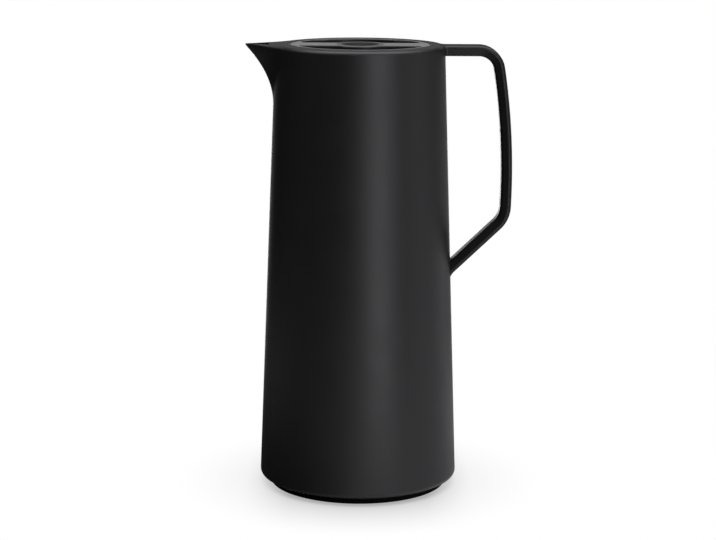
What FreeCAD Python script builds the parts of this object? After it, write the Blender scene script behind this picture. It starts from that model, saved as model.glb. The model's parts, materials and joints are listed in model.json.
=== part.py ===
import FreeCAD, Part
import math
import os

Vector = FreeCAD.Vector

# Vacuum jug: tapered shell with a beak and a closed handle, a steel vacuum flask inside,
# and a flush twist-out stopper whose push button opens the pouring valve.
# Millimetres. +Z is up from the floor, the beak points to -X and the handle to +X.

# Clearances
running_gap = 0.4
fit_gap = 0.1
cut_overrun = 5.0
match_tolerance = 0.1
upright_share = 0.9

# Outer shell
jug_height = 290.0
rim_radius = 54.7
base_radius = 65.0
foot_height = 5.0
shell_wall = 2.4
rim_width = 9.2
rim_thickness = 2.6
rim_edge_radius = 2.8
rim_chamfer = 0.6
base_edge_radius = 3.2
lip_width = 4.4
lip_height = 4.0

# Beak: a keel that stands out from the shell and grows towards the rim
beak_depth = 40.0
beak_reach = 20.0
beak_tip_radius = 3.0
beak_root_radius = 15.0
beak_flank_radius = 80.0
beak_tip_wall = 4.0
beak_bite = 0.25
beak_power = 2.0
beak_level_shares = (0.05, 0.2, 0.4, 0.6, 0.8, 1.0)
beak_hollow_level_shares = (0.3, 0.45, 0.6, 0.75)
rounding_turn_shares = (0.0, 0.5, 1.0)
beak_edge_share = 0.3
beak_back_share = 0.8
pour_hole_inset = 3.2
pour_hole_tip_inset = 5.8
pour_hole_length = 10.3

# Handle: top bar, bowed grip and slanted strut, all of one rounded section,
# which is narrower on the inside of the loop
handle_width = 15.6
handle_side_draft = 2.0
handle_thickness = 7.1
handle_edge_radius = 2.2
handle_reach = 44.3
handle_shoulder_radius = 10.0
handle_elbow_radius = 14.0
handle_bow_radius = 450.0
handle_bow_drop = 87.0
handle_strut_drop = 145.2
handle_strut_angle = 43.7
handle_flare_radius = 2.5
handle_bar_root = 11.5
handle_seat_depth = 3.4
handle_tongue_width = 9.0
handle_tongue_length = 2.5
strut_foot_length = 14.0
strut_web_radius = 9.0
strut_bite = 0.9
handle_screw_radius = 1.5
handle_screw_head_radius = 2.8
handle_screw_head = 2.0
handle_screw_grip = 7.0
handle_screw_rise = 3.0

# Stopper cap and its push button
cap_height = 16.2
cap_edge_radius = 0.8
cap_ring_width = 3.6
cap_floor = 2.2
cap_wall = 2.2
cap_top = 2.4
cap_bar_width = 22.0
cap_hub_radius = 18.4
cap_well_corner = 4.0
cap_boss_radius = 3.4
cap_boss_place = 32.0
cap_screw_radius = 1.3
cap_screw_head_radius = 2.6
cap_screw_head = 1.8
cap_screw_grip = 8.0
button_radius = 14.3
button_travel = 5.0
button_dish = 3.0
button_edge_width = 1.0
button_edge_radius = 0.5
button_thickness = 4.8
button_skirt_wall = 1.6
button_skirt = 10.0
button_boss_radius = 4.6
button_stop_gap = 0.8
spring_radius = 8.0
spring_wire_radius = 0.45
spring_turns = 5

# Stopper plug, its lugs and the pouring valve
plug_flange_radius = 40.0
plug_flange = 2.4
plug_radius = 27.0
plug_length = 23.2
plug_wall = 2.4
plug_foot_radius = 25.0
plug_foot_length = 10.3
plug_foot_wall = 3.6
gasket_groove_depth = 1.6
gasket_groove_height = 4.0
gasket_groove_rise = 3.1
gasket_reach = 1.7
gasket_lip_share = 0.3
seat_radius = 15.0
seat_thickness = 2.4
port_count = 6
port_width = 9.0
port_height = 8.0
port_drop = 3.0
guide_radius = 7.0
guide_length = 9.4
stem_radius = 3.0
stem_gap = 0.3
stem_seal_radius = 0.95
stem_seal_drop = 4.9
stem_head_radius = 5.0
stem_head = 1.8
disc_radius = 18.0
disc_thickness = 3.0
seal_width = 4.2
seal_thickness = 2.2
lug_count = 3
lug_lead = 36.0
lug_span = 60.0
lug_height = 2.6
lug_reach = 2.9
lug_root = 0.6
lug_rise = 2.1

# Pouring collar
collar_wall = 2.4
collar_bore_gap = 0.5
collar_funnel_drop = 25.4
collar_funnel_height = 5.5
trough_wall = 1.6
trough_depth = 21.0
trough_width = 30.0

# Vacuum flask
neck_radius = 27.0
neck_length = 14.0
neck_step = 2.2
neck_gasket_thickness = 1.6
neck_gasket_skirt = 4.0
neck_gasket_wall = 2.6
flask_wall = 0.6
flask_clearance = 3.3
vacuum_gap = 2.6
flask_neck_gap = 1.6
flask_floor_gap = 3.0
flask_boss_gap = 0.4
flask_shoulder_radius = 14.0
flask_throat_radius = 6.0
flask_slope = 60.0
flask_base_corner = 8.0
flask_throat_step = 2.4
flask_weld_height = 10.0
getter_radius = 4.0
getter_height = 2.0
getter_place = 20.0
pump_hole_radius = 0.8
seal_bead_radius = 3.0
seal_bead_height = 1.6

# Base
foot_setback = 7.0
foot_edge_radius = 0.8
foot_pad_thickness = 1.6
foot_pad_wall = 1.6
foot_pad_rim = 4.6
base_floor = 3.0
base_ring_width = 10.0
cushion_clearance = 6.4
cushion_width = 10.0
base_screw_count = 3
base_boss_radius = 4.0
base_boss_height = 5.6
base_rib = 2.4
base_screw_radius = 1.6
base_screw_head_radius = 3.0
base_screw_head = 2.2
base_screw_margin = 1.2
base_screw_grip = 4.8

# Heights and radii that follow from the sizes above
full_turn = 360.0
axis_z = Vector(0, 0, 1)
rim_underside = jug_height - rim_thickness
bore_radius = rim_radius - rim_width
cap_radius = bore_radius - running_gap
cap_bottom = jug_height - cap_height
plug_flange_bottom = cap_bottom - plug_flange
plug_shoulder = plug_flange_bottom - plug_length
plug_bottom = plug_shoulder - plug_foot_length
neck_lip = plug_shoulder - neck_step
collar_bottom = neck_lip + neck_gasket_thickness
collar_bore = plug_radius + lug_reach + collar_bore_gap
collar_funnel_top = jug_height - collar_funnel_drop + collar_funnel_height / 2
collar_funnel_bottom = collar_funnel_top - collar_funnel_height
flask_radius = rim_radius - shell_wall - flask_clearance
liner_radius = flask_radius - 2 * flask_wall - vacuum_gap
flask_neck_radius = neck_radius + 2 * flask_wall + flask_neck_gap
foot_radius = base_radius - foot_setback
plinth_radius = foot_radius - foot_pad_wall
cushion_outer_radius = plinth_radius - base_ring_width - cushion_clearance
base_top = foot_height + lip_height
base_floor_top = foot_pad_thickness + base_floor
flask_bottom = base_top + base_boss_height + flask_boss_gap
liner_bottom = flask_bottom + flask_wall + flask_floor_gap
base_screw_place = plinth_radius - base_screw_head_radius - base_screw_margin - fit_gap
disc_top = plug_bottom - stem_gap - seal_thickness
disc_bottom = disc_top - disc_thickness
button_underside = jug_height - button_thickness
button_boss_bottom = cap_bottom + button_travel + button_stop_gap
bar_height = jug_height - handle_thickness / 2
strut_root_height = jug_height - handle_strut_drop


# Shared building steps

def point(radius, height):
    return Vector(radius, 0, height)


def revolved(points):
    outline = Part.makePolygon([point(*p) for p in points] + [point(*points[0])])
    return Part.Face(outline).revolve(Vector(), axis_z, full_turn)


def revolved_edges(edges):
    outline = Part.Wire(edges)
    return Part.Face(outline).revolve(Vector(), axis_z, full_turn)


def tube(outer, inner, low, high):
    return revolved([(inner, low), (outer, low), (outer, high), (inner, high)])


def cylinder(radius, low, high, x=0, y=0):
    return Part.makeCylinder(radius, high - low, Vector(x, y, low))


def line(start, end):
    return Part.makeLine(start, end)


def arc(start, middle, end):
    return Part.Arc(start, middle, end).toShape()


def turned_arc(centre, radius, start_turn, end_turn):
    turns = (start_turn, (start_turn + end_turn) / 2, end_turn)
    rim = [centre + Vector(math.cos(t), 0, math.sin(t)) * radius for t in turns]
    return arc(*rim)


def around(shape, count):
    copies = []
    for step in range(count):
        copy = shape.copy()
        copy.rotate(Vector(), axis_z, full_turn * step / count)
        copies.append(copy)
    return copies


def fused(shapes):
    return shapes[0].multiFuse(shapes[1:]).removeSplitter()


# Outer form shared by the shell, the collar and the handle

def shell_radius(height):
    rise = (height - foot_height) / (jug_height - foot_height)
    return base_radius + (rim_radius - base_radius) * rise


def tapered_core(inset, low, high):
    low_radius = shell_radius(low) - inset
    high_radius = shell_radius(high) - inset
    return Part.makeCone(low_radius, high_radius, high - low, Vector(0, 0, low))


def rounded_body():
    body = tapered_core(0, foot_height, jug_height)
    for height, radius in ((jug_height, rim_edge_radius), (foot_height, base_edge_radius)):
        rims = [e for e in body.Edges if isinstance(e.Curve, Part.Circle)]
        body = body.makeFillet(radius, [e for e in rims if abs(e.Curve.Center.z - height) < match_tolerance])
    return body


def beak_share(height):
    return (height - jug_height + beak_depth) / beak_depth


def beak_height(share):
    return jug_height - beak_depth + beak_depth * share


def beak_wire(height, inset, tip_inset):
    share = beak_share(height)
    body = shell_radius(height) - beak_bite - inset
    flank = beak_flank_radius + inset
    keel = beak_root_radius + (beak_tip_radius - beak_root_radius) * share
    reach = shell_radius(height) + beak_reach * share ** beak_power - tip_inset
    keel_place = reach - keel
    to_axis = body + flank
    to_keel = keel + flank
    turn = math.acos((to_axis ** 2 + keel_place ** 2 - to_keel ** 2) / (2 * to_axis * keel_place))
    axis = Vector(0, 0, height)
    keel_centre = Vector(-keel_place, 0, height)
    tip = Vector(-reach, 0, height)
    sides = []
    for side in (1, -1):
        flank_way = Vector(-math.cos(turn), side * math.sin(turn), 0)
        flank_centre = axis + flank_way * to_axis
        root = axis + flank_way * body
        keel_end = keel_centre + (flank_centre - keel_centre).normalize() * keel
        middle = flank_centre + ((root + keel_end) / 2 - flank_centre).normalize() * flank
        sides.append((root, middle, keel_end))
    (far_root, far_middle, far_keel), (near_root, near_middle, near_keel) = sides
    far_back = Vector(-bore_radius * beak_back_share, far_root.y, height)
    near_back = Vector(-bore_radius * beak_back_share, near_root.y, height)
    return Part.Wire([
        arc(far_root, far_middle, far_keel),
        arc(far_keel, tip, near_keel),
        arc(near_keel, near_middle, near_root),
        line(near_root, near_back),
        line(near_back, far_back),
        line(far_back, far_root),
    ])


def beak_forms():
    crown_low = beak_share(jug_height - rim_edge_radius)
    flanks = [beak_wire(beak_height(share * crown_low), 0, 0) for share in beak_level_shares]
    crown = []
    for share in rounding_turn_shares:
        turn = share * math.pi / 2
        height = jug_height - rim_edge_radius + rim_edge_radius * math.sin(turn)
        inset = rim_edge_radius * (1 - math.cos(turn))
        crown.append(beak_wire(height, inset, inset * beak_edge_share))
    return [Part.makeLoft(wires, True, False) for wires in (flanks, crown)]


def beak_hollow(inset, tip_inset, low, high):
    heights = [beak_height(share) for share in beak_hollow_level_shares]
    levels = [low] + [h for h in heights if low < h < high] + [high]
    return Part.makeLoft([beak_wire(h, inset, tip_inset) for h in levels], True, False)


def pour_hole():
    outline = Part.Face(beak_wire(jug_height, pour_hole_inset, pour_hole_tip_inset))
    column = outline.extrude(Vector(0, 0, -rim_thickness - cut_overrun))
    tip = rim_radius + beak_reach - pour_hole_tip_inset
    window = Part.makeBox(
        pour_hole_length + cut_overrun, 2 * bore_radius, jug_height,
        Vector(-tip - cut_overrun, -bore_radius, 0),
    )
    return column.common(window)


# Handle

def rounded_section(centre, across, upright, corners, radius):
    spots = [centre + across * a + upright * b for a, b in corners]
    rounds = []
    for index, spot in enumerate(spots):
        before = (spots[index - 1] - spot).normalize()
        after = (spots[(index + 1) % len(spots)] - spot).normalize()
        half_turn = before.getAngle(after) / 2
        reach = radius / math.tan(half_turn)
        depth = radius / math.sin(half_turn) - radius
        middle = spot + (before + after).normalize() * depth
        rounds.append((spot + before * reach, middle, spot + after * reach))
    edges = []
    for bend, following in zip(rounds, rounds[1:] + rounds[:1]):
        edges.append(arc(*bend))
        edges.append(line(bend[2], following[0]))
    return Part.Wire(edges)


def handle_path():
    shoulder = handle_shoulder_radius + handle_thickness / 2
    elbow = handle_elbow_radius + handle_thickness / 2
    grip_reach = rim_radius + handle_reach - handle_thickness / 2
    bow_centre = point(grip_reach - handle_bow_radius, jug_height - handle_bow_drop)
    bar_start = point(rim_radius + handle_bar_root, bar_height)
    shoulder_rise = bar_height - shoulder - bow_centre.z
    shoulder_run = math.sqrt((handle_bow_radius - shoulder) ** 2 - shoulder_rise ** 2)
    shoulder_centre = point(bow_centre.x + shoulder_run, bar_height - shoulder)
    slant = math.radians(handle_strut_angle)
    strut_way = point(math.cos(slant), math.sin(slant))
    inward = point(-math.sin(slant), math.cos(slant))
    strut_root = point(shell_radius(strut_root_height), strut_root_height)
    offset = strut_root + inward * elbow - bow_centre
    along = offset.dot(strut_way)
    reach = (handle_bow_radius - elbow) ** 2 - offset.dot(offset) + along ** 2
    strut_length = math.sqrt(reach) - along
    strut_end = strut_root + strut_way * strut_length
    elbow_centre = strut_end + inward * elbow
    shoulder_turn = math.atan2(shoulder_rise, shoulder_run)
    elbow_arm = elbow_centre - bow_centre
    elbow_turn = math.atan2(elbow_arm.z, elbow_arm.x)
    strut_turn = slant - math.pi / 2
    shoulder_arc = turned_arc(shoulder_centre, shoulder, math.pi / 2, shoulder_turn)
    bow = turned_arc(bow_centre, handle_bow_radius, shoulder_turn, elbow_turn)
    elbow_arc = turned_arc(elbow_centre, elbow, elbow_turn, strut_turn)
    strut_start = strut_root + strut_way * strut_foot_length
    return Part.Wire([
        line(bar_start, point(shoulder_centre.x, bar_height)),
        shoulder_arc,
        bow,
        elbow_arc,
        line(strut_end, strut_start),
    ])


def handle_bar_outline(half, height):
    body = rim_radius - beak_bite
    flare = handle_flare_radius
    flare_x = math.sqrt((body + flare) ** 2 - (half + flare) ** 2)
    end_x = rim_radius + handle_bar_root
    inner = rim_radius - handle_seat_depth
    sides = []
    for side in (1, -1):
        centre = Vector(flare_x, side * (half + flare), 0)
        root = centre * (body / (body + flare))
        bar = Vector(flare_x, side * half, 0)
        middle = centre + ((root + bar) / 2 - centre).normalize() * flare
        end = Vector(end_x, side * half, 0)
        back = root * (inner / body)
        sides.append((back, root, middle, bar, end))
    far, near = sides
    outline = Part.Wire([
        line(far[0], far[1]),
        arc(far[1], far[2], far[3]),
        line(far[3], far[4]),
        line(far[4], near[4]),
        line(near[4], near[3]),
        arc(near[3], near[2], near[1]),
        line(near[1], near[0]),
        arc(near[0], Vector(inner, 0, 0), far[0]),
    ])
    outline.translate(Vector(0, 0, height))
    return outline


def handle_bar_plate():
    half = handle_width / 2
    low = handle_bar_outline(half - handle_side_draft, jug_height - handle_thickness)
    high = handle_bar_outline(half, jug_height)
    plate = Part.makeLoft([low, high], True, True)
    edges = [e for e in plate.Edges if is_bar_edge(e)]
    return plate.makeFillet(handle_edge_radius, edges)


def is_bar_edge(edge):
    first, last = edge.Vertexes[0].Point, edge.Vertexes[-1].Point
    level = abs(first.z - last.z) < match_tolerance
    same_side = first.y * last.y > 0
    seat = rim_radius - handle_seat_depth + match_tolerance
    outside = all(math.hypot(p.x, p.y) > seat for p in (first, last))
    return level and same_side and outside


def strut_foot():
    slant = math.radians(handle_strut_angle)
    taper = math.atan2(base_radius - rim_radius, jug_height - foot_height)
    strut_way = point(math.cos(slant), math.sin(slant))
    upright = point(-math.sin(slant), math.cos(slant))
    wall_way = point(math.sin(taper), -math.cos(taper))
    wall_out = point(math.cos(taper), math.sin(taper))
    half = handle_thickness / 2
    foot = point(shell_radius(strut_root_height), strut_root_height)
    wall_foot = foot - wall_out * strut_bite
    end = foot + strut_way * strut_foot_length
    # The web under the strut is an arc tangent to the strut's underside and to the shell's wall.
    turn = math.acos(-strut_way.dot(wall_way))
    under = foot - upright * half
    corner = under - strut_way * ((under - wall_foot).dot(wall_out) / strut_way.dot(wall_out))
    reach = strut_web_radius * math.tan(turn / 2)
    strut_tangent = corner + strut_way * reach
    wall_tangent = corner + wall_way * reach
    web_centre = strut_tangent - upright * strut_web_radius
    web_middle = web_centre + (corner - web_centre).normalize() * strut_web_radius
    inner_low = wall_tangent - wall_out * shell_wall
    inner_high = foot + upright * half - strut_way * (half + shell_wall)
    outline = Part.Wire([
        line(end - upright * half, strut_tangent),
        arc(strut_tangent, web_middle, wall_tangent),
        line(wall_tangent, inner_low),
        line(inner_low, inner_high),
        line(inner_high, end + upright * half),
        line(end + upright * half, end - upright * half),
    ])
    block = Part.Face(outline).extrude(Vector(0, 2 * handle_width, 0))
    block.translate(Vector(0, -handle_width, 0))
    block = block.common(strut_sides(end, strut_way, upright))
    long_edges = [e for e in block.Edges if is_strut_edge(e, end, strut_way)]
    return block.makeFillet(handle_edge_radius, long_edges)


def strut_sides(end, strut_way, upright):
    across = Vector(0, 1, 0)
    reach = 2 * handle_thickness
    slope = handle_side_draft / handle_thickness
    middle_half = (handle_width - handle_side_draft) / 2
    low_half = middle_half + slope * reach
    high_half = middle_half - slope * reach
    low = end - upright * reach
    high = end + upright * reach
    spots = [
        low - across * low_half,
        low + across * low_half,
        high + across * high_half,
        high - across * high_half,
    ]
    wedge = Part.Face(Part.makePolygon(spots + spots[:1]))
    return wedge.extrude(strut_way * -(strut_foot_length + reach))


def is_strut_edge(edge, end, strut_way):
    first, last = edge.Vertexes[0].Point, edge.Vertexes[-1].Point
    level = first.y * last.y > 0
    both_outside = all(p.x > shell_radius(p.z) - shell_wall - strut_bite for p in (first, last))
    at_end = [abs((p - end).dot(strut_way)) < match_tolerance for p in (first, last)]
    return level and not all(at_end) and (both_outside or any(at_end))


def handle_screw_axis():
    height = strut_root_height + handle_screw_rise
    wall = shell_radius(height) - shell_wall
    return wall, height


def rod_x(radius, start_x, end_x, height):
    return Part.makeCylinder(radius, end_x - start_x, point(start_x, height), Vector(1, 0, 0))


def handle():
    outer_half = handle_width / 2
    inner_half = outer_half - handle_side_draft
    high = handle_thickness / 2
    start = point(rim_radius + handle_bar_root, bar_height)
    corners = [(-inner_half, -high), (inner_half, -high), (outer_half, high), (-outer_half, high)]
    section = rounded_section(start, Vector(0, 1, 0), axis_z, corners, handle_edge_radius)
    sweep = handle_path().makePipeShell([section], True, False)
    tongue_end = rim_radius - handle_seat_depth
    tongue_root = tongue_end - handle_tongue_length
    tongue_low = jug_height - handle_thickness
    tongue = Part.makeBox(
        handle_tongue_length + fit_gap, handle_tongue_width,
        rim_underside - fit_gap - tongue_low,
        Vector(tongue_root, -handle_tongue_width / 2, tongue_low),
    )
    strut = strut_foot().cut(tapered_core(-fit_gap, foot_height, jug_height))
    wall, height = handle_screw_axis()
    pilot_end = wall + shell_wall + handle_screw_grip + fit_gap
    pilot = rod_x(handle_screw_radius + fit_gap / 2, wall, pilot_end, height)
    return fused([handle_bar_plate(), sweep, strut, tongue]).cut(pilot)


def handle_screw():
    wall, height = handle_screw_axis()
    head = rod_x(handle_screw_head_radius, wall - handle_screw_head, wall, height)
    shank_end = wall + shell_wall + handle_screw_grip
    shank = rod_x(handle_screw_radius, wall - handle_screw_head / 2, shank_end, height)
    return fused([head, shank]).cut(tapered_wall())


def tapered_wall():
    outside = tapered_core(0, foot_height, jug_height)
    inside = tapered_core(shell_wall, foot_height, jug_height)
    height = handle_screw_axis()[1]
    hole = rod_x(handle_screw_radius + fit_gap, 0, 2 * base_radius, height)
    return outside.cut(inside).cut(hole)


# Shell and base

def base_screw_bosses(radius, low, high):
    return around(cylinder(radius, low, high, base_screw_place), base_screw_count)


def shell_bosses():
    boss = cylinder(base_boss_radius, base_top, base_top + base_boss_height, base_screw_place)
    rib = Part.makeBox(
        base_radius - base_screw_place, base_rib, base_boss_height,
        Vector(base_screw_place, -base_rib / 2, base_top),
    )
    return around(boss.fuse(rib), base_screw_count)


def outer_shell():
    solid = rounded_body().multiFuse(beak_forms())
    lip = cylinder(base_radius - lip_width, foot_height - cut_overrun, base_top)
    core = tapered_core(shell_wall, base_top, rim_underside)
    bore = cylinder(bore_radius, rim_underside - cut_overrun, jug_height + cut_overrun)
    hollow = beak_hollow(
        shell_wall, beak_tip_wall, beak_height(beak_hollow_level_shares[0]), rim_underside,
    )
    rim_slope = revolved([
        (bore_radius - rim_chamfer, jug_height - 2 * rim_chamfer),
        (bore_radius + 2 * rim_chamfer, jug_height + rim_chamfer),
        (bore_radius - rim_chamfer, jug_height + rim_chamfer),
    ])
    shell = solid.cut(fused([lip, core, bore])).cut(hollow).cut(pour_hole()).cut(rim_slope)
    bosses = [b.common(tapered_core(shell_wall / 2, foot_height, jug_height)) for b in shell_bosses()]
    shell = shell.multiFuse(bosses)
    boss_end = base_top + base_boss_height + cut_overrun
    pilots = base_screw_bosses(base_screw_radius + fit_gap / 2, base_top - cut_overrun, boss_end)
    wall, height = handle_screw_axis()
    screw_hole = rod_x(handle_screw_radius + fit_gap, wall - cut_overrun, wall + 2 * shell_wall, height)
    return shell.cut(pilots[0].multiFuse(pilots[1:])).cut(screw_hole).cut(handle_bar_plate())


def base_plate():
    ring_inner = plinth_radius - base_ring_width
    plate = revolved([
        (0, foot_pad_thickness),
        (plinth_radius, foot_pad_thickness),
        (plinth_radius, foot_height),
        (base_radius - lip_width - fit_gap, foot_height),
        (base_radius - lip_width - fit_gap, base_top),
        (ring_inner, base_top),
        (ring_inner, base_floor_top),
        (0, base_floor_top),
    ])
    holes = base_screw_bosses(base_screw_radius + fit_gap, 0, base_top + cut_overrun)
    seats = base_screw_bosses(base_screw_head_radius + fit_gap, 0, foot_height)
    return plate.cut(holes[0].multiFuse(holes[1:] + seats))


def base_screws():
    head = cylinder(base_screw_head_radius, foot_height - base_screw_head, foot_height, base_screw_place)
    shank_low = foot_height - base_screw_head / 2
    shank = cylinder(base_screw_radius, shank_low, base_top + base_screw_grip, base_screw_place)
    return Part.makeCompound(around(fused([head, shank]), base_screw_count))


def foot_pad():
    pad = revolved([
        (0, 0),
        (foot_radius, 0),
        (foot_radius, foot_pad_rim),
        (plinth_radius + fit_gap, foot_pad_rim),
        (plinth_radius + fit_gap, foot_pad_thickness),
        (0, foot_pad_thickness),
    ])
    rims = [e for e in pad.Edges if isinstance(e.Curve, Part.Circle)]
    sole = [e for e in rims if abs(e.Curve.Center.z) < match_tolerance]
    return pad.makeFillet(foot_edge_radius, sole)


def flask_cushion():
    return tube(cushion_outer_radius, cushion_outer_radius - cushion_width, base_floor_top, flask_bottom)


# Vacuum flask

def bottle(radius, neck, bottom, throat, top, skin):
    slope = math.radians(flask_slope)
    shoulder = flask_shoulder_radius + skin
    hollow = flask_throat_radius - skin
    corner = flask_base_corner + skin
    slant_run = radius - neck - (shoulder + hollow) * (1 - math.cos(slope))
    slant = slant_run / math.sin(slope)
    shoulder_height = throat - (shoulder + hollow) * math.sin(slope) - slant * math.cos(slope)
    shoulder_centre = point(radius - shoulder, shoulder_height)
    hollow_centre = point(neck + hollow, throat)
    corner_centre = point(radius - corner, bottom + corner)
    shoulder_end = shoulder_centre + point(math.cos(slope), math.sin(slope)) * shoulder
    hollow_start = hollow_centre - point(math.cos(slope), math.sin(slope)) * hollow
    return revolved_edges([
        line(point(0, bottom), point(radius - corner, bottom)),
        turned_arc(corner_centre, corner, -math.pi / 2, 0),
        line(point(radius, bottom + corner), point(radius, shoulder_height)),
        turned_arc(shoulder_centre, shoulder, 0, slope),
        line(shoulder_end, hollow_start),
        turned_arc(hollow_centre, hollow, math.pi + slope, math.pi),
        line(point(neck, throat), point(neck, top)),
        line(point(neck, top), point(0, top)),
        line(point(0, top), point(0, bottom)),
    ])


def flask_inner():
    throat = neck_lip - neck_length
    outside = bottle(liner_radius + flask_wall, neck_radius + flask_wall, liner_bottom, throat, neck_lip,
                     flask_wall)
    inside = bottle(liner_radius, neck_radius, liner_bottom + flask_wall, throat,
                    neck_lip + cut_overrun, 0)
    lip = tube(flask_neck_radius, neck_radius, neck_lip - flask_wall, neck_lip)
    return fused([outside.cut(inside), lip])


def flask_jacket():
    throat = neck_lip - neck_length + flask_throat_step
    top = neck_lip - flask_wall
    outside = bottle(flask_radius, flask_neck_radius, flask_bottom, throat, top, 0)
    inside = bottle(flask_radius - flask_wall, flask_neck_radius - flask_wall, flask_bottom + flask_wall,
                    throat, top + cut_overrun, -flask_wall)
    return outside.cut(inside)


def flask_outer():
    weld = flask_bottom + flask_weld_height
    return flask_jacket().cut(cylinder(base_radius, flask_bottom - cut_overrun, weld))


def flask_base_cap():
    weld = flask_bottom + flask_weld_height
    cap = flask_jacket().common(cylinder(base_radius, flask_bottom - cut_overrun, weld))
    return cap.cut(cylinder(pump_hole_radius, flask_bottom - cut_overrun, weld))


def vacuum_getter():
    floor = flask_bottom + flask_wall
    return cylinder(getter_radius, floor, floor + getter_height, getter_place)


def vacuum_seal_bead():
    rise = (seal_bead_radius ** 2 + seal_bead_height ** 2) / (2 * seal_bead_height)
    ball = Part.makeSphere(rise, Vector(0, 0, flask_bottom - seal_bead_height + rise))
    return ball.common(cylinder(rise, flask_bottom - seal_bead_height, flask_bottom))


def neck_gasket():
    inner = neck_radius + 2 * fit_gap + flask_wall
    sleeve = flask_neck_radius + fit_gap
    outer = sleeve + neck_gasket_wall
    return revolved([
        (inner, neck_lip),
        (sleeve, neck_lip),
        (sleeve, neck_lip - neck_gasket_skirt),
        (outer, neck_lip - neck_gasket_skirt),
        (outer, collar_bottom),
        (inner, collar_bottom),
    ])


# Pouring collar and lugs

def lugs(inner, outer, low):
    radius = (inner + outer) / 2
    path = Part.makeHelix(lug_lead, lug_lead * lug_span / full_turn, radius)
    corners = [point(inner, 0), point(outer, 0), point(outer, lug_height), point(inner, lug_height)]
    section = Part.makePolygon(corners + corners[:1])
    lug = Part.Wire(path.Edges).makePipeShell([section], True, True)
    lug.translate(Vector(0, 0, low))
    return around(lug, lug_count)


def trough(wall):
    low = jug_height - trough_depth + wall
    inset = shell_wall + running_gap + wall
    tip_inset = beak_tip_wall + running_gap + wall
    form = beak_hollow(inset, tip_inset, low, rim_underside)
    half = trough_width / 2 - wall
    slot = Part.makeBox(2 * base_radius, 2 * half, jug_height, Vector(-2 * base_radius, -half, 0))
    return form.common(slot)


def pouring_collar():
    wall = collar_wall
    body = revolved([
        (collar_bore, collar_bottom),
        (collar_bore + wall, collar_bottom),
        (collar_bore + wall, collar_funnel_bottom - wall),
        (bore_radius + wall, collar_funnel_top - wall),
        (bore_radius + wall, rim_underside),
        (bore_radius, rim_underside),
        (bore_radius, collar_funnel_top),
        (collar_bore, collar_funnel_bottom),
    ])
    inside = cylinder(bore_radius, collar_funnel_top, rim_underside + cut_overrun)
    channel = trough(0).cut(inside)
    low = plug_shoulder + lug_rise + lug_height + running_gap
    screw_lugs = lugs(plug_radius + collar_bore_gap, collar_bore + lug_root, low)
    collar = fused([body, channel] + screw_lugs)
    return collar.cut(trough(trough_wall))


# Stopper

def cap_well():
    ring = Part.Face(Part.Wire(Part.makeCircle(cap_radius - cap_ring_width)))
    hub = Part.Face(Part.Wire(Part.makeCircle(cap_hub_radius)))
    bar = Part.makePlane(2 * cap_radius, cap_bar_width, Vector(-cap_radius, -cap_bar_width / 2, 0))
    pockets = ring.cut(bar.fuse(hub))
    wells = []
    for face in pockets.Faces:
        well = face.extrude(axis_z * (cap_height + cut_overrun))
        upright = [e for e in well.Edges if abs(e.tangentAt(e.FirstParameter).z) > upright_share]
        well = well.makeFillet(cap_well_corner, upright)
        well.translate(Vector(0, 0, cap_bottom + cap_floor))
        wells.append(well)
    return wells


def stopper_cap():
    body = cylinder(cap_radius, cap_bottom, jug_height)
    rims = [e for e in body.Edges if isinstance(e.Curve, Part.Circle)]
    top = [e for e in rims if e.Curve.Center.z > jug_height - match_tolerance]
    body = body.makeFillet(cap_edge_radius, top)
    button_bore = cylinder(button_radius + running_gap, cap_bottom - cut_overrun, jug_height + cut_overrun)
    cavity_top = jug_height - cap_top
    half = cap_bar_width / 2 - cap_wall
    inner_end = cap_hub_radius
    outer_end = cap_radius - cap_ring_width - cap_wall
    cuts = cap_well() + [button_bore]
    bosses = []
    for side in (1, -1):
        start = inner_end if side > 0 else -outer_end
        cuts.append(Part.makeBox(outer_end - inner_end, 2 * half, cavity_top - cap_bottom + cut_overrun,
                                 Vector(start, -half, cap_bottom - cut_overrun)))
        bosses.append(cylinder(cap_boss_radius, cap_bottom, cavity_top + cap_top / 2, side * cap_boss_place))
    body = body.cut(cuts[0].multiFuse(cuts[1:]))
    body = body.multiFuse(bosses)
    for side in (1, -1):
        body = body.cut(cylinder(cap_screw_radius + fit_gap / 2, cap_bottom - cut_overrun,
                                 cap_bottom + cap_screw_grip + fit_gap, side * cap_boss_place))
    body = body.removeSplitter()
    face = max(body.Faces, key=top_area)
    inner = [e for wire in face.Wires if not wire.isSame(face.OuterWire) for e in wire.Edges]
    return body.makeFillet(cap_edge_radius, inner)


def top_area(face):
    return face.Area if face.BoundBox.ZMin > jug_height - match_tolerance else 0


def cap_screws():
    screws = []
    for side in (1, -1):
        place = side * cap_boss_place
        head = cylinder(cap_screw_head_radius, plug_flange_bottom - cap_screw_head, plug_flange_bottom, place)
        shank_low = plug_flange_bottom - cap_screw_head / 2
        shank = cylinder(cap_screw_radius, shank_low, cap_bottom + cap_screw_grip, place)
        screws.append(fused([head, shank]))
    return Part.makeCompound(screws)


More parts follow.
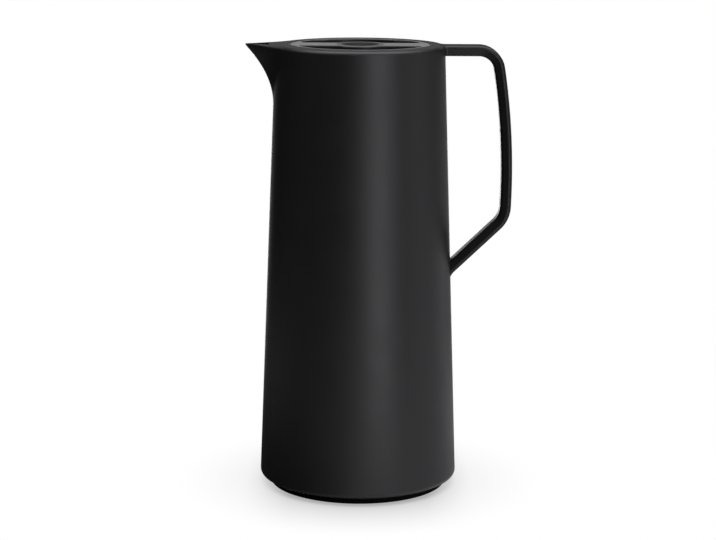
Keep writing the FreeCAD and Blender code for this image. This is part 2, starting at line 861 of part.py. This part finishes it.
def stopper_plug():
    bore = stem_radius + stem_gap
    groove = bore + 2 * stem_seal_radius
    seal_top = cap_bottom - stem_seal_drop
    seal_bottom = seal_top - 2 * stem_seal_radius - 2 * fit_gap
    inner = plug_radius - plug_wall
    foot_inner = plug_foot_radius - plug_foot_wall
    groove_low = plug_bottom + gasket_groove_rise
    groove_high = groove_low + gasket_groove_height
    groove_floor = plug_foot_radius - gasket_groove_depth
    body = revolved([
        (bore, cap_bottom),
        (plug_flange_radius, cap_bottom),
        (plug_flange_radius, plug_flange_bottom),
        (plug_radius, plug_flange_bottom),
        (plug_radius, plug_shoulder),
        (plug_foot_radius, plug_shoulder),
        (plug_foot_radius, groove_high),
        (groove_floor, groove_high),
        (groove_floor, groove_low),
        (plug_foot_radius, groove_low),
        (plug_foot_radius, plug_bottom),
        (seat_radius, plug_bottom),
        (seat_radius, plug_bottom + seat_thickness),
        (foot_inner, plug_bottom + seat_thickness),
        (foot_inner, plug_shoulder + plug_wall),
        (inner, plug_shoulder + plug_wall),
        (inner, plug_flange_bottom),
        (guide_radius, plug_flange_bottom),
        (guide_radius, plug_flange_bottom - guide_length),
        (bore, plug_flange_bottom - guide_length),
        (bore, seal_bottom),
        (groove, seal_bottom),
        (groove, seal_top),
        (bore, seal_top),
    ])
    port_top = plug_flange_bottom - port_drop
    port = Part.makeBox(
        plug_wall + 2 * cut_overrun, port_width, port_height,
        Vector(inner - cut_overrun, -port_width / 2, port_top - port_height),
    )
    ports = around(port, port_count)
    body = body.cut(ports[0].multiFuse(ports[1:]))
    for side in (1, -1):
        body = body.cut(cylinder(cap_screw_radius + fit_gap, plug_flange_bottom - cut_overrun,
                                 cap_bottom + cut_overrun, side * cap_boss_place))
    screw_lugs = lugs(plug_radius - lug_root, plug_radius + lug_reach, plug_shoulder + lug_rise)
    return fused([body] + screw_lugs)


def stopper_gasket():
    gap = running_gap
    low = plug_bottom + gasket_groove_rise + gap
    high = low + gasket_groove_height - 2 * gap
    inner = plug_foot_radius - gasket_groove_depth + gap
    outer = plug_foot_radius + gasket_reach
    lip = (high - low) * gasket_lip_share
    waist = plug_foot_radius + gap
    return revolved([
        (inner, low),
        (outer, low),
        (outer, low + lip),
        (waist, low + lip),
        (waist, high - lip),
        (outer, high - lip),
        (outer, high),
        (inner, high),
    ])


def push_button():
    dish_radius = button_radius - button_edge_width
    skirt_inner = button_radius - button_skirt_wall
    edge = button_edge_radius
    socket = stem_radius + fit_gap
    skirt_bottom = jug_height - button_skirt
    dish_end = point(dish_radius, jug_height)
    dish_bottom = point(0, jug_height - button_dish)
    ball = (dish_radius ** 2 + button_dish ** 2) / (2 * button_dish)
    half_turn = math.asin(dish_radius / ball) / 2
    ball_centre = point(0, jug_height - button_dish + ball)
    dish_middle = ball_centre + point(math.sin(half_turn), -math.cos(half_turn)) * ball
    edge_centre = point(button_radius - edge, jug_height - edge)
    corners = [
        (button_radius, jug_height - edge), (button_radius, skirt_bottom), (skirt_inner, skirt_bottom),
        (skirt_inner, button_underside), (button_boss_radius, button_underside),
        (button_boss_radius, button_boss_bottom), (socket, button_boss_bottom), (socket, button_underside),
        (0, button_underside), (0, jug_height - button_dish),
    ]
    spots = [point(*c) for c in corners]
    edges = [arc(dish_bottom, dish_middle, dish_end)]
    edges.append(line(dish_end, point(button_radius - edge, jug_height)))
    edges.append(turned_arc(edge_centre, edge, math.pi / 2, 0))
    edges += [line(a, b) for a, b in zip(spots, spots[1:])]
    return revolved_edges(edges)


def button_spring():
    low = cap_bottom + spring_wire_radius + fit_gap
    high = button_underside - spring_wire_radius - fit_gap
    path = Part.makeHelix((high - low) / spring_turns, high - low, spring_radius)
    section = Part.Wire(Part.makeCircle(spring_wire_radius, Vector(spring_radius, 0, 0), Vector(0, 1, 0)))
    coil = Part.Wire(path.Edges).makePipeShell([section], True, True)
    coil.translate(Vector(0, 0, low))
    return coil


def valve_stem():
    rod = cylinder(stem_radius, disc_bottom - stem_head / 2, button_underside - fit_gap)
    head = cylinder(stem_head_radius, disc_bottom - stem_head, disc_bottom)
    return fused([rod, head])


def valve_disc():
    return tube(disc_radius, stem_radius + fit_gap, disc_bottom, disc_top)


def valve_seal():
    return tube(disc_radius, disc_radius - seal_width, disc_top, disc_top + seal_thickness)


def stem_seal():
    middle = cap_bottom - stem_seal_drop - stem_seal_radius - fit_gap
    return Part.makeTorus(stem_radius + stem_gap + stem_seal_radius, stem_seal_radius, Vector(0, 0, middle))


pieces = (
    outer_shell, handle, handle_screw, pouring_collar, neck_gasket,
    flask_inner, flask_outer, flask_base_cap, vacuum_getter, vacuum_seal_bead,
    flask_cushion, base_plate, base_screws, foot_pad,
    stopper_cap, stopper_plug, cap_screws, stopper_gasket,
    push_button, button_spring, valve_stem, valve_disc, valve_seal, stem_seal,
)

os.makedirs("parts", exist_ok=True)
for piece in pieces:
    shape = piece()
    shape.exportStep(os.path.join("parts", piece.__name__ + ".step"))
    print(piece.__name__, len(shape.Solids), round(shape.Volume), shape.isValid())
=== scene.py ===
import json
import math

import bpy
import numpy
from mathutils import Matrix, Vector


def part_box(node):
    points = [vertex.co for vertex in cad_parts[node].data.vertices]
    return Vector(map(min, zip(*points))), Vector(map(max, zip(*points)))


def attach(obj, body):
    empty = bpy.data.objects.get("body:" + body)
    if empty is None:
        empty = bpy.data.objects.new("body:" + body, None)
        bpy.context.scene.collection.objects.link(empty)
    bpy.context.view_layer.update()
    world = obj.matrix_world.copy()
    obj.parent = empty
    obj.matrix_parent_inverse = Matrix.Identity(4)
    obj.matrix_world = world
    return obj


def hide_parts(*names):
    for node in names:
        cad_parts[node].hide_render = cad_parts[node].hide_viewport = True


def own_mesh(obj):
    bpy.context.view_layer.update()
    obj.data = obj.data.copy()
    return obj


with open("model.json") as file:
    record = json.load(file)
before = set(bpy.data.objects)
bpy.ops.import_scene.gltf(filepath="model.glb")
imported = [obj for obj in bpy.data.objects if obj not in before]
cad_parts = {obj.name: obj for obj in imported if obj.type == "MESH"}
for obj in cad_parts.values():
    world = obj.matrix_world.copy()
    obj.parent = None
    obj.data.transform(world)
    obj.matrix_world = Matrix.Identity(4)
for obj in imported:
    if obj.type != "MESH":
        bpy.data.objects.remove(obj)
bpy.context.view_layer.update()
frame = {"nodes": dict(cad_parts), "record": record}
nodes = frame["nodes"]
scene = bpy.context.scene

# Camera fitted to the photo's frame: pixels, millimetres of sensor, metres and angles
frame_width = 716
sensor_width = 36.0
focal_pixels = 2032.5
camera_place = Vector((-0.00062, -1.31, 0.4012))
camera_tilt = math.radians(11.195)
camera_roll = math.radians(0.33)
camera_near = 0.05
camera_far = 50

# Noise: the part of its range that is stretched over a material's two ends
noise_low = 0.3
noise_high = 0.7

# Moulded plastic and rubber: colour mottle, smears of gloss and fine grain
mottle_scale = 90
mottle_detail = 4
mottle_shares = (0.9, 1.1)
smear_scale = 38
smear_detail = 5
smear_roughness = 0.6
smear_swing = 0.025
grain_detail = 2
grain_strength = 0.35
dull_top_slopes = (0.8, 0.97)

# Brushed metal: fine lines round the axis
brush_stretch = (60, 60, 2600)
brush_detail = 3
brush_roughness = 0.6
brush_shares = (0.88, 1.08)
brush_swing = 0.06
brush_strength = 0.2
brush_depth = 0.00002

# The button's spring: turns, and metres for its wire
coil_turns = 6.5
coil_closed_turns = 0.9
coil_closed_pitch = 1.06
coil_steps = 40
coil_wire = 0.00045
wire_sides = 12

# The floor: painted light, its colour graded by place in metres, so that the jug's gloss sees it brighter
# to the right, in front, far to the left and close to the foot
floor_roughness = 0.9
floor_bounce_places = (-0.055, 0.1)
floor_bounce_shades = (0.02, 0.54)
beak_bounce_places = (-0.23, -0.37)
beak_bounce_shades = (0.0, 1.0)
front_bounce_places = (-0.08, -0.24)
front_bounce_shades = (0.0, 0.55)
foot_bounce_places = (0.066, 0.085)
foot_bounce_gains = (2.4, 1.0)

# The floor's contact shadow, its fade into the white room and its outline
shadow_reach = 0.06
shadow_samples = 24
shadow_core = 0.25
shadow_depth = 0.58
shadow_fall_places = (0.045, 0.075)
shadow_fall_shares = (1.0, 0.4)
floor_fade_places = (0.08, 0.6)
floor_reach = 0.6
floor_sides = 96

# The room: a white sheet behind the jug, near darkness below it and a dim fill, by direction
sheet_behind = (0.84, 0.98)
sheet_heights = (0.2, 0.45)
below_heights = (-0.05, -0.4)
below_light = (0.005, 0.01)
room_light = 0.06

# Lamps: name, place, target, width and height in metres, power in watts
lamp_tint = (0.965, 0.97, 1.0)
jug_middle = (0, 0, 0.15)
lamps = (
    ("key", (0.57, -1.22, -0.05), jug_middle, 0.4, 2.4, 12.2),
    ("side", (1.5, -0.25, 0.0), jug_middle, 0.9, 2.2, 4.6),
    ("edge", (1.15, 0.75, -0.2), jug_middle, 0.8, 0.9, 1.7),
    ("back", (0.0, 1.5, -0.75), (0, 0, -0.75), 0.8, 1.8, 18),
    ("top", (0.0, -0.15, 1.55), (0.0, -0.1, 0.25), 3.0, 1.4, 50),
)


# Small steps for building node trees

def node(tree, kind, **inputs):
    made = tree.nodes.new(kind)
    for name, value in inputs.items():
        made.inputs[name.replace("_", " ")].default_value = value
    return made


def link(tree, source, output, target, socket):
    tree.links.new(source.outputs[output], target.inputs[socket])


def combine(tree, operation, *sources):
    made = tree.nodes.new("ShaderNodeMath")
    made.operation = operation
    for socket, (source, output) in enumerate(sources):
        link(tree, source, output, made, socket)
    return made


def noise(tree, place, output, scale, detail, roughness=0.5):
    made = node(tree, "ShaderNodeTexNoise", Scale=scale, Detail=detail, Roughness=roughness)
    link(tree, place, output, made, "Vector")
    return made


def spread(tree, source, output, low, high, to_low, to_high, smooth=False):
    made = node(tree, "ShaderNodeMapRange", From_Min=low, From_Max=high, To_Min=to_low, To_Max=to_high)
    if smooth:
        made.interpolation_type = "SMOOTHSTEP"
    link(tree, source, output, made, "Value")
    return made


def noise_spread(tree, source, to_low, to_high):
    return spread(tree, source, "Fac", noise_low, noise_high, to_low, to_high)


def parts_of(tree, source, output):
    made = tree.nodes.new("ShaderNodeSeparateXYZ")
    link(tree, source, output, made, "Vector")
    return made


def new_material(name):
    material = bpy.data.materials.new(name)
    material.use_nodes = True
    tree = material.node_tree
    return material, tree, tree.nodes["Principled BSDF"]


def mottled(tree, source, shader, colour, shares):
    mix = tree.nodes.new("ShaderNodeMix")
    mix.data_type = "RGBA"
    for end, share in zip("AB", shares):
        mix.inputs[end].default_value = (*(min(1, c * share) for c in colour), 1)
    link(tree, noise_spread(tree, source, 0, 1), "Result", mix, "Factor")
    link(tree, mix, "Result", shader, "Base Color")


def bumped(tree, source, shader, strength, depth):
    bump = node(tree, "ShaderNodeBump", Strength=strength, Distance=depth)
    link(tree, source, "Fac", bump, "Height")
    link(tree, bump, "Normal", shader, "Normal")


# Materials

def moulded(name, colour, rough, grain_size, grain_depth, specular=0.5, dull_top=0.0):
    material, tree, shader = new_material(name)
    place = tree.nodes.new("ShaderNodeTexCoord")
    mottled(tree, noise(tree, place, "Object", mottle_scale, mottle_detail), shader, colour, mottle_shares)
    smear = noise(tree, place, "Object", smear_scale, smear_detail, smear_roughness)
    gloss = noise_spread(tree, smear, rough - smear_swing, rough + smear_swing)
    facing = parts_of(tree, tree.nodes.new("ShaderNodeNewGeometry"), "Normal")
    dull = spread(tree, facing, "Z", *dull_top_slopes, 0, dull_top)
    link(tree, combine(tree, "ADD", (gloss, "Result"), (dull, "Result")), "Value", shader, "Roughness")
    grain = noise(tree, place, "Object", 1 / grain_size, grain_detail)
    bumped(tree, grain, shader, grain_strength, grain_depth)
    shader.inputs["Specular IOR Level"].default_value = specular
    return material


def brushed(name, colour, rough):
    material, tree, shader = new_material(name)
    place = tree.nodes.new("ShaderNodeTexCoord")
    stretch = node(tree, "ShaderNodeMapping", Scale=brush_stretch)
    link(tree, place, "Object", stretch, "Vector")
    lines = noise(tree, stretch, "Vector", 1, brush_detail, brush_roughness)
    mottled(tree, lines, shader, colour, brush_shares)
    gloss = noise_spread(tree, lines, rough - brush_swing, rough + brush_swing)
    link(tree, gloss, "Result", shader, "Roughness")
    bumped(tree, lines, shader, brush_strength, brush_depth)
    shader.inputs["Metallic"].default_value = 1
    return material


finishes = {
    "shell_plastic": moulded(
        "charcoal_satin", (0.003, 0.003, 0.0034), rough=0.48, grain_size=0.0004, grain_depth=0.00002,
        dull_top=0.3,
    ),
    "lid_plastic": moulded(
        "charcoal_smooth", (0.009, 0.009, 0.0096), rough=0.35, grain_size=0.0006, grain_depth=0.00001,
    ),
    "inner_plastic": moulded(
        "inner_grey", (0.03, 0.03, 0.03), rough=0.42, grain_size=0.0006, grain_depth=0.00001,
    ),
    # Painted shade: the foot's black rubber is made darker still and almost without reflection, standing
    # in for the shade under the jug
    "foot_rubber": moulded(
        "foot_black_shaded", (0.002, 0.002, 0.002), rough=0.75, grain_size=0.0005, grain_depth=0.00003,
        specular=0.04,
    ),
    "silicone": moulded(
        "silicone_grey", (0.36, 0.36, 0.345), rough=0.5, grain_size=0.0008, grain_depth=0.00001,
    ),
    "flask_steel": brushed("flask_steel", (0.6, 0.6, 0.61), rough=0.3),
    "getter_metal": brushed("getter_metal", (0.4, 0.4, 0.41), rough=0.5),
    "screw_steel": brushed("screw_steel", (0.5, 0.5, 0.52), rough=0.28),
}
# Painted shade: the handle gets its own darker, less reflective copy of the charcoal plastic, so it reads
# darker than the body as if in shade
handle_shaded_copy = moulded(
    "charcoal_handle_shaded", (0.002, 0.002, 0.0023), rough=0.42, grain_size=0.0004, grain_depth=0.00001,
    specular=0.34, dull_top=0.4,
)
for part in frame["record"]["subparts"]:
    piece = nodes[part["node"]]
    piece.data.materials.clear()
    finish = handle_shaded_copy if part["node"] == "handle" else finishes[part["material_slot"]]
    piece.data.materials.append(finish)


# The button's spring: a coil with closed ends

def coil_mesh(name, radius, wire, low, high):
    rise = high - low - 2 * wire
    closed_rise = coil_closed_turns * coil_closed_pitch * 2 * wire
    turn_stops = (0, coil_closed_turns, coil_turns - coil_closed_turns, coil_turns)
    rise_stops = (0, closed_rise, rise - closed_rise, rise)
    steps = round(coil_turns * coil_steps)
    corners = []
    for step in range(steps + 1):
        turned = coil_turns * step / steps
        angle = 2 * math.pi * turned
        height = low + wire + numpy.interp(turned, turn_stops, rise_stops)
        for side in range(wire_sides):
            around = 2 * math.pi * side / wire_sides
            reach = radius + wire * math.cos(around)
            level = height + wire * math.sin(around)
            corners.append((reach * math.cos(angle), reach * math.sin(angle), level))
    faces = []
    for first in range(0, steps * wire_sides, wire_sides):
        for side in range(wire_sides):
            here = first + side
            beside = first + (side + 1) % wire_sides
            faces.append((here, here + wire_sides, beside + wire_sides, beside))
    last = steps * wire_sides
    faces.append(tuple(range(wire_sides)))
    faces.append(tuple(range(last + wire_sides - 1, last - 1, -1)))
    mesh = bpy.data.meshes.new(name)
    mesh.from_pydata(corners, [], faces)
    for face in mesh.polygons:
        face.use_smooth = True
    return mesh


coil_low, coil_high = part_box("button_spring")
coil_radius = (coil_high.x - coil_low.x) / 2 - coil_wire
spring_mesh = coil_mesh("spring_coil", coil_radius, coil_wire, coil_low.z, coil_high.z)
spring = bpy.data.objects.new("spring_coil", spring_mesh)
spring.data.materials.append(finishes["screw_steel"])
scene.collection.objects.link(spring)
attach(spring, "stopper")
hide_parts("button_spring")
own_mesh(spring)


# Stage: a pale floor that keeps the jug's shadow, fades out into the white room and is clear from below

# Painted light: the floor colour that the jug's reflections see is graded by place, brighter to the right,
# in front, far to the left and close to the foot
def painted_floor_bounce(tree, split, distance):
    right = spread(tree, split, "X", *floor_bounce_places, *floor_bounce_shades)
    far_left = spread(tree, split, "X", *beak_bounce_places, *beak_bounce_shades)
    front = spread(tree, split, "Y", *front_bounce_places, *front_bounce_shades)
    sides = combine(tree, "MAXIMUM", (right, "Result"), (far_left, "Result"))
    ground = combine(tree, "MAXIMUM", (sides, "Value"), (front, "Result"))
    close = spread(tree, distance, "Value", *foot_bounce_places, *foot_bounce_gains)
    return combine(tree, "MULTIPLY", (ground, "Value"), (close, "Result"))


def shadowed_white(tree, split):
    nearness = node(tree, "ShaderNodeAmbientOcclusion", Distance=shadow_reach)
    nearness.samples = shadow_samples
    shade = spread(tree, nearness, "AO", shadow_core, 1, shadow_depth, 0)
    aside = combine(tree, "ABSOLUTE", (split, "X"))
    side = spread(tree, aside, "Value", *shadow_fall_places, *shadow_fall_shares)
    shadow = combine(tree, "MULTIPLY", (shade, "Result"), (side, "Result"))
    white = tree.nodes.new("ShaderNodeEmission")
    link(tree, spread(tree, shadow, "Value", 0, 1, 1, 0), "Result", white, "Strength")
    return white


def mixed(tree, factor, output, first, second):
    made = tree.nodes.new("ShaderNodeMixShader")
    link(tree, factor, output, made, "Fac")
    tree.links.new(first.outputs[0], made.inputs[1])
    tree.links.new(second.outputs[0], made.inputs[2])
    return made


def floor_material():
    material, tree, shader = new_material("floor_white")
    shader.inputs["Roughness"].default_value = floor_roughness
    shader.inputs["Specular IOR Level"].default_value = 0.0
    place = tree.nodes.new("ShaderNodeTexCoord")
    split = parts_of(tree, place, "Object")
    distance = tree.nodes.new("ShaderNodeVectorMath")
    distance.operation = "LENGTH"
    link(tree, place, "Object", distance, 0)
    link(tree, painted_floor_bounce(tree, split, distance), "Value", shader, "Base Color")
    path = tree.nodes.new("ShaderNodeLightPath")
    surface = mixed(tree, path, "Is Camera Ray", shader, shadowed_white(tree, split))
    fade = spread(tree, distance, "Value", *floor_fade_places, 0, 1, smooth=True)
    underside = tree.nodes.new("ShaderNodeNewGeometry")
    gone = combine(tree, "MAXIMUM", (fade, "Result"), (underside, "Backfacing"))
    pick = mixed(tree, gone, "Value", surface, tree.nodes.new("ShaderNodeBsdfTransparent"))
    link(tree, pick, "Shader", tree.nodes["Material Output"], "Surface")
    return material


rim = []
for step in range(floor_sides):
    angle = 2 * math.pi * step / floor_sides
    rim.append((floor_reach * math.cos(angle), floor_reach * math.sin(angle), 0))
floor_mesh = bpy.data.meshes.new("floor")
floor_mesh.from_pydata(rim, [], [list(range(floor_sides))])
floor = bpy.data.objects.new("floor", floor_mesh)
floor.data.materials.append(floor_material())
scene.collection.objects.link(floor)
floor.visible_diffuse = False
floor.visible_shadow = False


# World: white to the eye and, behind the jug, to its gloss; a dim room elsewhere

def white_world():
    world = bpy.data.worlds.new("studio")
    world.use_nodes = True
    tree = world.node_tree
    ground = tree.nodes["Background"]
    ground.inputs["Color"].default_value = (1, 1, 1, 1)
    path = tree.nodes.new("ShaderNodeLightPath")
    first = combine(tree, "MAXIMUM", (path, "Is Camera Ray"), (path, "Is Glossy Ray"))
    seen = combine(tree, "MAXIMUM", (first, "Value"), (path, "Is Transmission Ray"))
    way = parts_of(tree, tree.nodes.new("ShaderNodeTexCoord"), "Generated")
    behind = spread(tree, way, "Y", *sheet_behind, 0, 1, smooth=True)
    low = spread(tree, way, "Z", *sheet_heights, 1, 0, smooth=True)
    sheet = combine(tree, "MULTIPLY", (behind, "Result"), (low, "Result"))
    below = spread(tree, way, "Z", *below_heights, *below_light)
    gloss = combine(tree, "MAXIMUM", (sheet, "Value"), (below, "Result"))
    room = node(tree, "ShaderNodeMix", A=room_light)
    link(tree, seen, "Value", room, "Factor")
    link(tree, gloss, "Value", room, "B")
    eye = node(tree, "ShaderNodeMix", B=1.0)
    link(tree, path, "Is Camera Ray", eye, "Factor")
    link(tree, room, "Result", eye, "A")
    link(tree, eye, "Result", ground, "Strength")
    return world


scene.world = white_world()


# Lamps

def softbox(name, place, target, width, height, power):
    lamp = bpy.data.lights.new(name, "AREA")
    lamp.shape = "RECTANGLE"
    lamp.size = width
    lamp.size_y = height
    lamp.energy = power
    lamp.color = lamp_tint
    made = bpy.data.objects.new(name, lamp)
    made.location = place
    way = Vector(target) - Vector(place)
    made.rotation_euler = way.to_track_quat("-Z", "Y").to_euler()
    scene.collection.objects.link(made)


for lamp in lamps:
    softbox(*lamp)

# Camera
lens = bpy.data.cameras.new("camera")
lens.sensor_fit = "HORIZONTAL"
lens.sensor_width = sensor_width
lens.lens = focal_pixels * sensor_width / frame_width
lens.clip_start = camera_near
lens.clip_end = camera_far
camera = bpy.data.objects.new("camera", lens)
forward = Vector((0, math.cos(camera_tilt), -math.sin(camera_tilt)))
level_right = Vector((1, 0, 0))
level_up = level_right.cross(forward)
right = level_right * math.cos(camera_roll) + level_up * math.sin(camera_roll)
up = level_up * math.cos(camera_roll) - level_right * math.sin(camera_roll)
turn = Matrix((right, up, -forward)).transposed()
camera.matrix_world = Matrix.Translation(camera_place) @ turn.to_4x4()
scene.collection.objects.link(camera)
scene.camera = camera

scene.view_settings.view_transform = "Standard"
